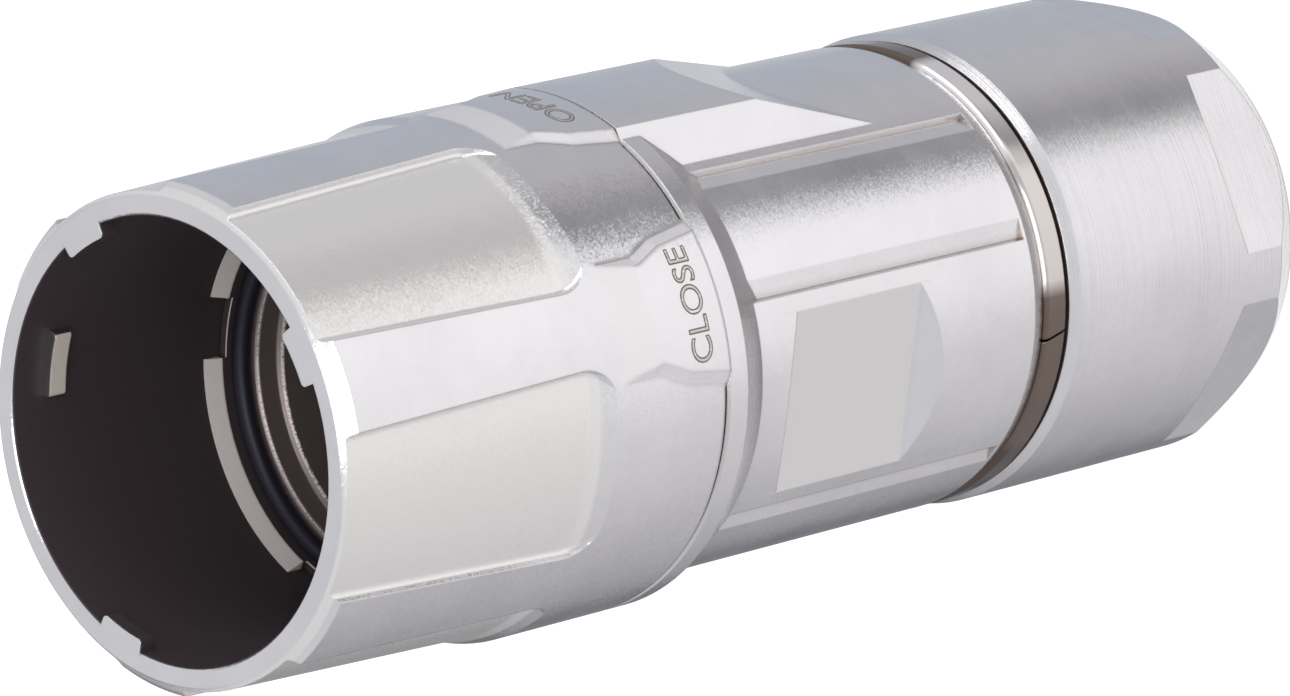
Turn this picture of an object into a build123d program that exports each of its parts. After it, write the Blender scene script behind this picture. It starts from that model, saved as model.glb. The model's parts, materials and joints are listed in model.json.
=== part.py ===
from build123d import *
from math import asin, cos, degrees, radians, sin, sqrt, tan

# Quick-lock circular power connector, cable side, housing without its contact insert.
# Millimetres. The connector stands on the rear face of its clamp nut with the mouth up, so the
# origin is the centre of that rear face and +Z runs up the axis to the mouth.
# The index pad of the body is on +Y. Angles are counter-clockwise about +Z from +X.

# Stack up the axis
nut_length = 20.5
washer_thickness = 1.94
barrel_length = 26.4        # body from the lock washer to the face of its flange
sleeve_length = 27.0
face_clearance = 0.03       # between faces that are screwed or pushed together
seam_gap = 0.12             # between the flange and the turning sleeve

# Coupling sleeve, outside
sleeve_bore_r = 11.80       # clears the 23 mm thread of the receptacle
sleeve_wall = 2.30
rim_chamfer = 0.80
grip_taper = 0.50           # the grip lands lose this much radius towards the rim
grip_taper_length = 17.0
edge_break = 0.15

# Six grip pockets
pocket_count = 6
pocket_front_depth = 0.52
pocket_rear_depth = 0.48
pocket_floor_length = 17.05
pocket_length = 18.75       # to the top of the ramp that ends the pocket
pocket_outline_depth = 1.10 # below the floor's front end, where these widths are measured
pocket_front_half_width = 3.95
pocket_rear_half_width = 4.45
pocket_wall_angle = 35      # draft of the side walls
pocket_corner_r = 1.35
pocket_outline_setback = 0.85 # of the outline's rear end from the ramp's end
pocket_ramp_r = 1.5          # where the floor turns into its ramp
pocket_edge_r = 0.30         # where the floor meets the side walls
cutter_margin = 1.0          # how far cutting shapes stand out of the metal
root_overlap = 0.3           # how far added shapes reach into the metal

# Raised pads: OPEN and CLOSE on the sleeve, index pad on the body
pad_height = 0.40           # above sleeve_r
pad_flank_angle = 45
pad_neck_half_width = 2.90
pad_half_width = 3.80
pad_flare_length = 1.9      # behind the crest, where the pad widens most
pad_flare_share = 0.65      # of the widening, over that length
pad_foot_depth = 19.3       # from the mouth, where the pad's front ramp starts
pad_crest_depth = 22.1      # where the ramp reaches the pad's top
pad_foot_r = 0.60           # where the flanks meet the sleeve
open_angle = 90
close_angle = 30
index_crest_length = 10.8   # of the index pad, from the flange face to its rear ramp
index_ramp_angle = 15
index_flank_angle = 38      # between the flank and the pad's middle plane

# Locking lugs inside the mouth
lug_reach = 0.70            # in from the bore
lug_arc = 15
lug_thickness = 1.0
lug_corner_r = 0.25
lug_angles = (40.4, 130.5, 260.0)
guide_lug_angle = 179.0     # one more lug, further in
guide_lug_arc = 18
guide_lug_depth = 2.2
guide_lug_thickness = 1.1
guide_lug_reach = 0.55

# Spigot of the body, inside the sleeve
spigot_length = 13.45
sleeve_play = 0.06          # radial, sleeve on spigot
notch_arc = 17.5
notch_depth = 1.22
spigot_rim_wall = 0.52
spigot_rim_bevel = 0.46     # lead-in of the castellated rim, radially
spigot_rim_bevel_depth = 0.85
seal_recess_depth = 2.28
insert_bore_r = 9.70
insert_bore_length = 19.9
insert_flange_step = 0.30
insert_flange_depth = 1.52
seat_bevel = 0.18

# Face seal against the receptacle
face_seal_section_r = 0.50
seal_clearance = 0.02

# Snap ring that keeps the sleeve on the spigot
snap_height = 8.9           # middle of the groove above the flange face
snap_ring_width = 0.90
snap_ring_bite = 0.50       # into the spigot, and into the sleeve
snap_gap_arc = 24
groove_clearance = 0.05

# Stop pin, and the turn from OPEN to CLOSE
stop_height = 6.4
stop_pin_r = 0.75
stop_pin_reach = 0.80       # beyond the sleeve's bore
stop_slot_clearance = 0.15
turn_angle = 60
stop_play = 0.05

# Click ring, a six-sided spring that holds OPEN and CLOSE
click_height = 4.1
click_ring_width = 0.90
click_ring_thickness = 0.55
click_side_inset = 0.04     # from the sleeve's bore to the middle of a side
click_corner_reach = 0.50   # beyond the sleeve's bore, at a corner
click_gap_width = 5.0

# Damper seal between sleeve and spigot
damper_height = 2.0
damper_section_r = 0.40

# Body barrel
flange_length = 1.5
flange_cone_length = 2.20   # down to the barrel
clamp_bore_r = 10.20
barrel_wall = 2.85
panel_half_width = 6.0      # of the four panels, to the walls of their grooves
groove_depth = 0.30         # of the grooves beside the panels
groove_end_arc = 32.8       # from the panel's middle to where the groove has run out
collar_length = 1.1         # round end of the barrel beside the washer
collar_bevel_depth = 0.25
collar_bevel_length = 0.9
wrench_flat_depth = 1.05    # below barrel_r
wrench_flat_start = 6.85    # below the flange face
wrench_flat_length = 9.75
wrench_front_angle = 45
wrench_rear_angle = 35

# Neck of the body, inside the nut
neck_wall = 1.80
neck_land_length = 6.2
thread_pitch = 1.5
thread_turns = 5            # four of them are free to unscrew
neck_thread_relief = 0.38   # the thread lies below the land
neck_seal_depth = 1.9       # below the nut's top
neck_seal_section_r = 0.50

# Lock washer, seen between barrel and nut
washer_bore_clearance = 0.05
washer_slit = 0.16
washer_slit_angle = 2.5
washer_slit_lean = 15       # of the slit from the axis
washer_chamfer = 0.35       # beside the nut
washer_round = 0.40         # beside the barrel

# Clamp nut
nut_step = 0.25             # the nut is wider than the barrel by this much
nut_lip_chamfer = 0.30
nut_lip_length = 0.70
nut_skirt_clearance = 0.30  # radial, from the neck's land
nut_skirt_length = 4.3
nut_thread_play = 0.08
nut_wall = 2.6              # rear wall with the cable entry
nut_chamber_step = 0.25     # wider than the clamp bore
nut_thread_length = 8.2
entry_r = 7.75
entry_bevel = 0.8
nut_flat_depth = 1.10       # below the nut's outside
nut_flat_length = 5.65
nut_flat_angle = 35
nut_cone_length = 2.7
nut_cone_depth = 1.55

# Slip ring between nut and cage
slip_ring_height = 3.2
slip_ring_play = 0.07
slip_ring_wall = 2.18       # at its thick side
slip_ring_cone_depth = 1.50

# Clamp cage and grommet
cage_tip_gap = 1.3          # between the nut's rear wall and the finger tips
cage_ring_rise = 7.2        # of the cage's ring above the end of the neck
cage_ring_height = 2.0
cage_ring_wall = 2.40
cage_finger_inset = 0.15
cage_finger_thickness = 1.60
cage_finger_count = 8
cage_slot_width = 1.2
cage_finger_root = 1.5      # solid part below the cage's ring
cage_play = 0.10
grommet_tip_gap = 0.7       # between finger tips and grommet
grommet_wall = 1.70
grommet_play = 0.05         # radial, grommet in cage
grommet_groove_depth = 0.50
grommet_groove_width = 1.5
grommet_groove_count = 3
core_wall = 2.05
core_play = 0.05            # radial, core in grommet

# Shield clamp
ferrule_flange_height = 1.2
ferrule_wall = 1.0
ferrule_tube_length = 5.27
shield_ring_wall = 1.85
shield_ring_play = 0.05
shield_ring_height = 4.5
crown_play = 0.05
crown_thickness = 0.40
crown_height = 4.6
crown_base_height = 1.0
crown_slot_count = 20
crown_slot_width = 0.5

# Spacer sleeve between the shield clamp and the insert
spacer_play = 0.10
spacer_wall = 1.0
spacer_window_count = 3
spacer_window_width = 5.0
spacer_window_height = 6.0

# Derived levels and radii
sleeve_r = sleeve_bore_r + sleeve_wall
rim_r = sleeve_r - grip_taper
rim_face_r = rim_r - rim_chamfer
pocket_floor_front_r = rim_r - pocket_front_depth
pocket_floor_rear_r = sleeve_r - pocket_rear_depth
pad_r = sleeve_r + pad_height
pad_edge_r = sqrt(pad_r**2 - pad_half_width**2)
lug_root_r = sleeve_bore_r + root_overlap
lug_tip_r = sleeve_bore_r - lug_reach
guide_lug_tip_r = sleeve_bore_r - guide_lug_reach
stop_pin_outer_r = sleeve_bore_r + stop_pin_reach
click_flat_r = sleeve_bore_r - click_side_inset
click_corner_r = sleeve_bore_r + click_corner_reach
barrel_r = clamp_bore_r + barrel_wall
groove_r = barrel_r - groove_depth
wrench_flat_distance = barrel_r - wrench_flat_depth
insert_flange_r = insert_bore_r + insert_flange_step
neck_r = clamp_bore_r + neck_wall
neck_thread_r = neck_r - neck_thread_relief
nut_r = barrel_r + nut_step
nut_lip_r = nut_r - nut_lip_chamfer
nut_skirt_r = neck_r + nut_skirt_clearance
nut_chamber_r = clamp_bore_r + nut_chamber_step
nut_flat_distance = nut_r - nut_flat_depth
nut_rear_r = nut_r - nut_cone_depth
collar_z = nut_length + washer_thickness + 2 * face_clearance
flange_z = collar_z + barrel_length
sleeve_z = flange_z + seam_gap
mouth_z = sleeve_z + sleeve_length
spigot_r = sleeve_bore_r - sleeve_play
seal_recess_r = spigot_r - spigot_rim_wall
snap_ring_inner_r = spigot_r - snap_ring_bite
snap_ring_outer_r = sleeve_bore_r + snap_ring_bite
spigot_top = flange_z + spigot_length
seal_floor_z = spigot_top - seal_recess_depth
seat_z = seal_floor_z - insert_flange_depth
snap_z = flange_z + snap_height
stop_z = flange_z + stop_height
click_z = flange_z + click_height
damper_z = flange_z + damper_height
thread_length = thread_pitch * thread_turns
neck_land_z = collar_z - neck_land_length
neck_z = neck_land_z - thread_length
clamp_bore_top = seat_z - insert_bore_length
nut_chamber_top = nut_length - nut_skirt_length - nut_thread_length
neck_seal_z = nut_length - neck_seal_depth
cage_bottom = nut_wall + cage_tip_gap
cage_ring_z = neck_z + cage_ring_rise
grommet_bottom = cage_bottom + grommet_tip_gap
neck_seal_r = nut_skirt_r - seal_clearance - neck_seal_section_r
damper_r = sleeve_bore_r - seal_clearance - damper_section_r
nut_thread_r = neck_thread_r + nut_thread_play
notch_angles = lug_angles + (guide_lug_angle,)


def turned(angle):
    """A turn about the connector's axis."""
    return Location((0, 0, 0), (0, 0, angle))


def polar(radius, angle):
    """Point at a radius and an angle in degrees."""
    return (radius * cos(radians(angle)), radius * sin(radians(angle)))


def axis_distance(point):
    return sqrt(point.X**2 + point.Y**2)


# Grip pocket: a conical floor with a ramp at its rear, cut to a rounded outline with drafted walls
pocket_ramp = (sleeve_r - pocket_floor_rear_r) / (pocket_length - pocket_floor_length)
outside_r = pad_r + 2
floor_slope = (pocket_floor_rear_r - pocket_floor_front_r) / pocket_floor_length
ramp_foot_z = mouth_z - pocket_floor_length
ramp_end_z = ramp_foot_z - (outside_r - pocket_floor_rear_r) / pocket_ramp
with BuildPart() as grip_pocket:
    with BuildSketch(Plane.XZ) as pocket_profile:
        with BuildLine():
            Polyline(
                (pocket_floor_front_r - floor_slope * cutter_margin, mouth_z + cutter_margin),
                (pocket_floor_rear_r, ramp_foot_z),
                (outside_r, ramp_end_z),
                (outside_r, mouth_z + cutter_margin),
                close=True,
            )
        make_face()
        ramp_foot = pocket_profile.vertices().sort_by_distance((pocket_floor_rear_r, ramp_foot_z))[0]
        fillet(ramp_foot, pocket_ramp_r)
    revolve(axis=Axis.Z)
    outline_r = pocket_floor_front_r - pocket_outline_depth
    with BuildSketch(Plane.YZ.offset(outline_r)) as pocket_outline:
        with BuildLine():
            Polyline(
                (-pocket_front_half_width, mouth_z + 2 * cutter_margin),
                (-pocket_rear_half_width, mouth_z - pocket_length + pocket_outline_setback),
                (pocket_rear_half_width, mouth_z - pocket_length + pocket_outline_setback),
                (pocket_front_half_width, mouth_z + 2 * cutter_margin),
                close=True,
            )
        make_face()
        fillet(pocket_outline.vertices().group_by(Axis.Y)[0], pocket_corner_r)
    extrude(amount=outside_r - outline_r, taper=-pocket_wall_angle, mode=Mode.INTERSECT)
    side_edges = grip_pocket.edges().filter_by(GeomType.CIRCLE, reverse=True)
    fillet(side_edges.filter_by(lambda edge: axis_distance(edge @ 0.5) < pad_r), pocket_edge_r)

# Pad on the sleeve: a front ramp, then a top that flares towards the seam, with 45 degree flanks
with BuildPart() as sleeve_pad:
    with BuildSketch(Plane.XZ):
        with BuildLine():
            Polyline(
                (sleeve_r - root_overlap, mouth_z - pad_foot_depth),
                (sleeve_r, mouth_z - pad_foot_depth),
                (pad_r, mouth_z - pad_crest_depth),
                (pad_r, sleeve_z),
                (sleeve_r - root_overlap, sleeve_z),
                close=True,
            )
        make_face()
    revolve(axis=Axis.Z)
    flare_depth = pad_crest_depth + pad_flare_length
    pad_flare = pad_half_width - pad_neck_half_width
    with BuildSketch(Plane.YZ.offset(pad_r)) as pad_outline:
        with BuildLine():
            Polyline(
                (0, mouth_z - pad_foot_depth + cutter_margin),
                (pad_neck_half_width, mouth_z - pad_foot_depth + cutter_margin),
                (pad_neck_half_width, mouth_z - pad_crest_depth),
                (pad_neck_half_width + pad_flare_share * pad_flare, mouth_z - flare_depth),
                (pad_half_width, sleeve_z),
                (pad_half_width, sleeve_z - 2 * cutter_margin),
                (0, sleeve_z - 2 * cutter_margin),
                close=True,
            )
        make_face()
        mirror(about=Plane.YZ)
        offset(amount=pad_edge_r - pad_r, kind=Kind.INTERSECTION, mode=Mode.REPLACE)
    extrude(amount=-5 * pad_height, taper=-pad_flank_angle, mode=Mode.INTERSECT)

# Locking lugs that reach in from the bore
with BuildPart() as rim_lug:
    with BuildSketch(Plane.XY.offset(mouth_z - lug_thickness)) as rim_lug_outline:
        with BuildLine():
            CenterArc((0, 0), lug_root_r, -lug_arc / 2, lug_arc)
            Line(polar(lug_root_r, lug_arc / 2), polar(lug_tip_r, lug_arc / 2))
            CenterArc((0, 0), lug_tip_r, -lug_arc / 2, lug_arc)
            Line(polar(lug_tip_r, -lug_arc / 2), polar(lug_root_r, -lug_arc / 2))
        make_face()
        fillet(rim_lug_outline.vertices().sort_by_distance((0, 0))[:2], lug_corner_r)
    extrude(amount=lug_thickness)

with BuildPart() as guide_lug:
    with BuildSketch(Plane.XY.offset(mouth_z - guide_lug_depth - guide_lug_thickness)) as guide_lug_outline:
        with BuildLine():
            CenterArc((0, 0), lug_root_r, -guide_lug_arc / 2, guide_lug_arc)
            Line(polar(lug_root_r, guide_lug_arc / 2), polar(guide_lug_tip_r, guide_lug_arc / 2))
            CenterArc((0, 0), guide_lug_tip_r, -guide_lug_arc / 2, guide_lug_arc)
            Line(polar(guide_lug_tip_r, -guide_lug_arc / 2), polar(lug_root_r, -guide_lug_arc / 2))
        make_face()
        fillet(guide_lug_outline.vertices().sort_by_distance((0, 0))[:2], lug_corner_r)
    extrude(amount=guide_lug_thickness)

# Coupling sleeve
stop_play_arc = degrees(asin((stop_pin_r + stop_play) / sleeve_bore_r))
click_corner_round = (click_flat_r / cos(radians(30)) - click_corner_r) / (1 / cos(radians(30)) - 1)
with BuildPart() as coupling_sleeve:
    with BuildSketch(Plane.XZ):
        with BuildLine():
            Polyline(
                (sleeve_bore_r, sleeve_z),
                (sleeve_r - edge_break, sleeve_z),
                (sleeve_r, sleeve_z + edge_break),
                (sleeve_r, mouth_z - grip_taper_length),
                (rim_r, mouth_z - rim_chamfer),
                (rim_face_r, mouth_z),
                (sleeve_bore_r + edge_break, mouth_z),
                (sleeve_bore_r, mouth_z - edge_break),
                close=True,
            )
        make_face()
    revolve(axis=Axis.Z)
    with PolarLocations(0, pocket_count):
        add(grip_pocket.part, mode=Mode.SUBTRACT)
    with Locations(turned(open_angle), turned(close_angle)):
        add(sleeve_pad.part)
    behind_pockets_z = mouth_z - max(pad_foot_depth, pocket_length)
    rear_edges = coupling_sleeve.edges().filter_by(lambda edge: (edge @ 0.5).Z < behind_pockets_z)
    foot_edges = rear_edges.filter_by(lambda edge: abs(axis_distance(edge @ 0.5) - sleeve_r) < 0.01)
    flank_edges = foot_edges.filter_by(GeomType.BSPLINE).filter_by(lambda edge: edge.length > edge_break)
    fillet(flank_edges, pad_foot_r)
    # Groove of the snap ring
    with BuildSketch(Plane.XY.offset(snap_z - snap_ring_width / 2 - groove_clearance)):
        Circle(snap_ring_outer_r + groove_clearance)
        Circle(sleeve_bore_r - cutter_margin, mode=Mode.SUBTRACT)
    extrude(amount=snap_ring_width + 2 * groove_clearance, mode=Mode.SUBTRACT)
    # Slot that the stop pin runs in
    with BuildSketch(Plane.XY.offset(stop_z - stop_pin_r - groove_clearance)):
        with BuildLine():
            slot_start = -turn_angle - stop_play_arc
            slot_arc = turn_angle + 2 * stop_play_arc
            slot_floor_r = stop_pin_outer_r + stop_slot_clearance
            slot_mouth_r = sleeve_bore_r - root_overlap
            CenterArc((0, 0), slot_floor_r, slot_start, slot_arc)
            Line(polar(slot_floor_r, stop_play_arc), polar(slot_mouth_r, stop_play_arc))
            CenterArc((0, 0), slot_mouth_r, slot_start, slot_arc)
            Line(polar(slot_mouth_r, slot_start), polar(slot_floor_r, slot_start))
        make_face()
    extrude(amount=2 * (stop_pin_r + groove_clearance), mode=Mode.SUBTRACT)
    # Six-sided recess that the click ring snaps into
    with BuildSketch(Plane.XY.offset(click_z - click_ring_width / 2 - groove_clearance)) as click_recess:
        RegularPolygon(click_flat_r + groove_clearance, pocket_count, major_radius=False)
        fillet(click_recess.vertices(), click_corner_round)
        Circle(sleeve_bore_r - cutter_margin, mode=Mode.SUBTRACT)
    extrude(amount=click_ring_width + 2 * groove_clearance, mode=Mode.SUBTRACT)
    with Locations(*[turned(angle) for angle in lug_angles]):
        add(rim_lug.part)
    with Locations(turned(guide_lug_angle)):
        add(guide_lug.part)
coupling_sleeve.part.label = "coupling_sleeve"

# Index pad of the body: as wide as the sleeve's pads at the seam, with a flat ramp at its rear
flank_slope = tan(radians(index_flank_angle))
ramp_slope = tan(radians(index_ramp_angle))
panel_wall_foot = sqrt(groove_r**2 - panel_half_width**2)
pad_root = pad_edge_r - panel_wall_foot
crest_z = flange_z - index_crest_length
with BuildPart() as index_pad:
    with BuildSketch(Plane.XY.offset(flange_z)):
        Circle(pad_r)
    extrude(amount=-barrel_length + collar_length)
    with BuildSketch(Plane.XY.offset(flange_z)):
        with BuildLine():
            crown_r = pad_r + cutter_margin
            Polyline(
                (crown_r, 0),
                (crown_r, pad_half_width - (crown_r - pad_edge_r) * flank_slope),
                (pad_edge_r - pad_root, pad_half_width + pad_root * flank_slope),
                (pad_edge_r - pad_root, 0),
                close=True,
            )
        make_face()
        mirror(about=Plane.XZ)
    extrude(amount=-barrel_length + collar_length, mode=Mode.INTERSECT)
    with BuildSketch(Plane.XZ):
        with BuildLine():
            Polyline(
                (crown_r, crest_z + (crown_r - pad_edge_r) / ramp_slope),
                (pad_edge_r - pad_root, crest_z - pad_root / ramp_slope),
                (pad_edge_r - pad_root, 0),
                (crown_r, 0),
                close=True,
            )
        make_face()
    extrude(amount=pad_r, both=True, mode=Mode.SUBTRACT)

# The two grooves beside one of the barrel's panels, each with a wall on the panel's side
groove_foot = (panel_wall_foot, panel_half_width)
groove_end = polar(barrel_r, groove_end_arc)
beyond_end = (1.5 * groove_end[0] - 0.5 * groove_foot[0], 1.5 * groove_end[1] - 0.5 * groove_foot[1])
with BuildSketch() as panel_grooves:
    with BuildLine():
        Polyline(
            groove_foot,
            (barrel_r + cutter_margin, groove_foot[1]),
            (barrel_r + cutter_margin, beyond_end[1]),
            beyond_end,
            close=True,
        )
    make_face()
    mirror(about=Plane.XZ)

# One notch of the spigot's castellated rim
with BuildPart() as rim_notch:
    with BuildSketch(Plane.XY.offset(spigot_top - notch_depth)):
        with BuildLine():
            Polyline(
                polar(seal_recess_r - cutter_margin, -notch_arc / 2),
                polar(spigot_r + cutter_margin, -notch_arc / 2),
                polar(spigot_r + cutter_margin, notch_arc / 2),
                polar(seal_recess_r - cutter_margin, notch_arc / 2),
                close=True,
            )
        make_face()
    extrude(amount=notch_depth + cutter_margin)

# Body shell
flange_cone_slope = (sleeve_r - barrel_r) / flange_cone_length
barrel_root_r = groove_r - root_overlap
with BuildPart() as body_shell:
    # Turned outside of the spigot, flange, collar and neck
    with BuildSketch(Plane.XZ):
        with BuildLine():
            snap_groove = snap_ring_width / 2 + groove_clearance
            click_groove = click_ring_width / 2 + groove_clearance
            click_floor_r = click_flat_r - click_ring_thickness - groove_clearance
            damper_groove = damper_section_r + groove_clearance
            neck_groove = neck_seal_section_r + groove_clearance
            Polyline(
                (0, neck_z),
                (neck_thread_r, neck_z),
                (neck_thread_r, neck_land_z),
                (neck_r, neck_land_z + 0.3),
                (neck_r, neck_seal_z - neck_groove),
                (neck_seal_r - neck_seal_section_r - seal_clearance, neck_seal_z - neck_groove),
                (neck_seal_r - neck_seal_section_r - seal_clearance, neck_seal_z + neck_groove),
                (neck_r, neck_seal_z + neck_groove),
                (neck_r, collar_z),
                (barrel_r - collar_bevel_depth, collar_z),
                (barrel_r, collar_z + collar_bevel_length),
                (barrel_r, collar_z + collar_length),
                (barrel_root_r, collar_z + collar_length),
                (barrel_root_r, flange_z - flange_length - (sleeve_r - barrel_root_r) / flange_cone_slope),
                (sleeve_r, flange_z - flange_length),
                (sleeve_r, flange_z - edge_break),
                (sleeve_r - edge_break, flange_z),
                (spigot_r, flange_z),
                (spigot_r, damper_z - damper_groove),
                (damper_r - damper_section_r - seal_clearance, damper_z - damper_groove),
                (damper_r - damper_section_r - seal_clearance, damper_z + damper_groove),
                (spigot_r, damper_z + damper_groove),
                (spigot_r, click_z - click_groove),
                (click_floor_r, click_z - click_groove),
                (click_floor_r, click_z + click_groove),
                (spigot_r, click_z + click_groove),
                (spigot_r, snap_z - snap_groove),
                (snap_ring_inner_r - groove_clearance, snap_z - snap_groove),
                (snap_ring_inner_r - groove_clearance, snap_z + snap_groove),
                (spigot_r, snap_z + snap_groove),
                (spigot_r, spigot_top),
                (0, spigot_top),
                close=True,
            )
        make_face()
    revolve(axis=Axis.Z)
    # Barrel with four panels, each between two grooves
    with BuildSketch(Plane.XY.offset(collar_z + collar_length)):
        Circle(barrel_r)
        with PolarLocations(0, 4):
            add(panel_grooves.sketch, mode=Mode.SUBTRACT)
    extrude(amount=barrel_length - collar_length - flange_length)
    with Locations(turned(open_angle)):
        add(index_pad.part)
    # Two wrench flats, run out by the cutter at both ends
    with BuildSketch(Plane.XZ):
        with BuildLine():
            flat_top = flange_z - wrench_flat_start
            flat_bottom = flat_top - wrench_flat_length
            reach = 3 * cutter_margin
            Polyline(
                (wrench_flat_distance, flat_bottom),
                (wrench_flat_distance, flat_top),
                (wrench_flat_distance + reach * sin(radians(wrench_front_angle)),
                 flat_top + reach * cos(radians(wrench_front_angle))),
                (wrench_flat_distance + reach * sin(radians(wrench_rear_angle)),
                 flat_bottom - reach * cos(radians(wrench_rear_angle))),
                close=True,
            )
        make_face()
        mirror(about=Plane.YZ)
    extrude(amount=barrel_r, both=True, mode=Mode.SUBTRACT)
    # Bore: recess of the face seal, seat of the insert, insert bore, bore of the cable clamp
    with BuildSketch(Plane.XZ):
        with BuildLine():
            Polyline(
                (0, neck_z - cutter_margin),
                (clamp_bore_r, neck_z - cutter_margin),
                (clamp_bore_r, clamp_bore_top),
                (insert_bore_r, clamp_bore_top),
                (insert_bore_r, seat_z - seat_bevel),
                (insert_bore_r + seat_bevel, seat_z),
                (insert_flange_r - seat_bevel / 2, seat_z),
                (insert_flange_r, seat_z + seat_bevel / 2),
                (insert_flange_r, seal_floor_z - seat_bevel),
                (insert_flange_r + seat_bevel, seal_floor_z),
                (seal_recess_r, seal_floor_z),
                (seal_recess_r, spigot_top - spigot_rim_bevel_depth),
                (seal_recess_r + spigot_rim_bevel, spigot_top),
                (seal_recess_r + spigot_rim_bevel, spigot_top + cutter_margin),
                (0, spigot_top + cutter_margin),
                close=True,
            )
        make_face()
    revolve(axis=Axis.Z, mode=Mode.SUBTRACT)
    # Notches in the spigot's rim, in line with the lugs at OPEN
    with Locations(*[turned(angle) for angle in notch_angles]):
        add(rim_notch.part, mode=Mode.SUBTRACT)
    # Hole of the stop pin
    with BuildSketch(Plane.YZ.offset(insert_bore_r - cutter_margin)):
        with Locations((0, stop_z)):
            Circle(stop_pin_r)
    extrude(amount=spigot_r - insert_bore_r + 2 * cutter_margin, mode=Mode.SUBTRACT)
body_shell.part.label = "body_shell"

# Face seal
with BuildPart() as face_seal:
    with BuildSketch(Plane.XZ):
        face_seal_r = seal_recess_r - seal_clearance - face_seal_section_r
        with Locations((face_seal_r, seal_floor_z + face_seal_section_r)):
            Circle(face_seal_section_r)
    revolve(axis=Axis.Z)
face_seal.part.label = "face_seal"

# Snap ring, open on one side
with BuildPart() as sleeve_snap_ring:
    with BuildSketch(Plane.XY.offset(snap_z - snap_ring_width / 2)):
        Circle(snap_ring_outer_r)
        Circle(snap_ring_inner_r, mode=Mode.SUBTRACT)
        with BuildLine():
            Polyline(
                (0, 0),
                polar(2 * snap_ring_outer_r, 180 - snap_gap_arc / 2),
                polar(2 * snap_ring_outer_r, 180 + snap_gap_arc / 2),
                close=True,
            )
        make_face(mode=Mode.SUBTRACT)
    extrude(amount=snap_ring_width)
    chamfer(sleeve_snap_ring.edges().filter_by(GeomType.CIRCLE), snap_ring_width / 8)
sleeve_snap_ring.part.label = "sleeve_snap_ring"

# Click ring
with BuildPart() as click_ring:
    with BuildSketch(Plane.XY.offset(click_z - click_ring_width / 2)) as click_section:
        RegularPolygon(click_flat_r, pocket_count, major_radius=False)
        fillet(click_section.vertices(), click_corner_round)
        offset(amount=-click_ring_thickness, mode=Mode.SUBTRACT)
        with Locations((0, -click_flat_r)):
            Rectangle(click_gap_width, 4 * click_ring_thickness, mode=Mode.SUBTRACT)
    extrude(amount=click_ring_width)
click_ring.part.label = "click_ring"

# Damper seal
with BuildPart() as damper_seal:
    with BuildSketch(Plane.XZ):
        with Locations((damper_r, damper_z)):
            Circle(damper_section_r)
    revolve(axis=Axis.Z)
damper_seal.part.label = "damper_seal"

# Stop pin, pressed in from the insert bore
with BuildPart() as stop_pin:
    with BuildSketch(Plane.YZ.offset(insert_bore_r + 0.1)):
        with Locations((0, stop_z)):
            Circle(stop_pin_r)
    extrude(amount=stop_pin_outer_r - insert_bore_r - 0.1)
    chamfer(stop_pin.edges().group_by(Axis.X)[-1], stop_pin_r / 6)
stop_pin.part.label = "stop_pin"

# Lock washer with its slit
with BuildPart() as lock_washer:
    with BuildSketch(Plane.XY.offset(nut_length + face_clearance)):
        Circle(barrel_r)
        Circle(neck_r + washer_bore_clearance, mode=Mode.SUBTRACT)
    extrude(amount=washer_thickness)
    chamfer(lock_washer.edges().group_by(Axis.Z)[0].sort_by(SortBy.RADIUS)[-1], washer_chamfer)
    fillet(lock_washer.edges().group_by(Axis.Z)[-1].sort_by(SortBy.RADIUS)[-1], washer_round)
    with BuildSketch(Plane.XZ):
        with BuildLine():
            slit_middle = nut_length + washer_thickness / 2
            slit_lean = washer_thickness * tan(radians(washer_slit_lean))
            Polyline(
                (-washer_slit / 2 - slit_lean, slit_middle - washer_thickness),
                (washer_slit / 2 - slit_lean, slit_middle - washer_thickness),
                (washer_slit / 2 + slit_lean, slit_middle + washer_thickness),
                (-washer_slit / 2 + slit_lean, slit_middle + washer_thickness),
                close=True,
            )
        make_face()
    extrude(amount=-barrel_r - cutter_margin, mode=Mode.SUBTRACT)
lock_washer.part = lock_washer.part.rotate(Axis.Z, washer_slit_angle - 90)
lock_washer.part.label = "lock_washer"

# Neck seal
with BuildPart() as neck_seal:
    with BuildSketch(Plane.XZ):
        with Locations((neck_seal_r, neck_seal_z)):
            Circle(neck_seal_section_r)
    revolve(axis=Axis.Z)
neck_seal.part.label = "neck_seal"

# Clamp nut: one flat of the six, then the turned nut
with BuildPart() as nut_flat:
    with BuildSketch(Plane.XZ):
        with BuildLine():
            Polyline(
                (nut_flat_distance, -cutter_margin),
                (nut_flat_distance, nut_flat_length),
                (nut_r + cutter_margin, nut_flat_length + nut_flat_depth + cutter_margin),
                (nut_r + cutter_margin, -cutter_margin),
                close=True,
            )
        make_face()
    extrude(amount=nut_r, both=True)

with BuildPart() as clamp_nut:
    with BuildSketch(Plane.XZ):
        with BuildLine():
            Polyline(
                (entry_r, entry_bevel),
                (entry_r + entry_bevel, 0),
                (nut_rear_r, 0),
                (nut_r, nut_cone_length),
                (nut_r, nut_length - nut_lip_length),
                (nut_lip_r, nut_length),
                (nut_skirt_r, nut_length),
                (nut_skirt_r, nut_length - nut_skirt_length),
                (nut_thread_r, nut_length - nut_skirt_length - 0.4),
                (nut_thread_r, nut_chamber_top),
                (nut_chamber_r, nut_chamber_top),
                (nut_chamber_r, nut_wall),
                (entry_r, nut_wall),
                close=True,
            )
        make_face()
    revolve(axis=Axis.Z)
    with PolarLocations(0, 6, start_angle=nut_flat_angle):
        add(nut_flat.part, mode=Mode.SUBTRACT)
clamp_nut.part.label = "clamp_nut"

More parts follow.
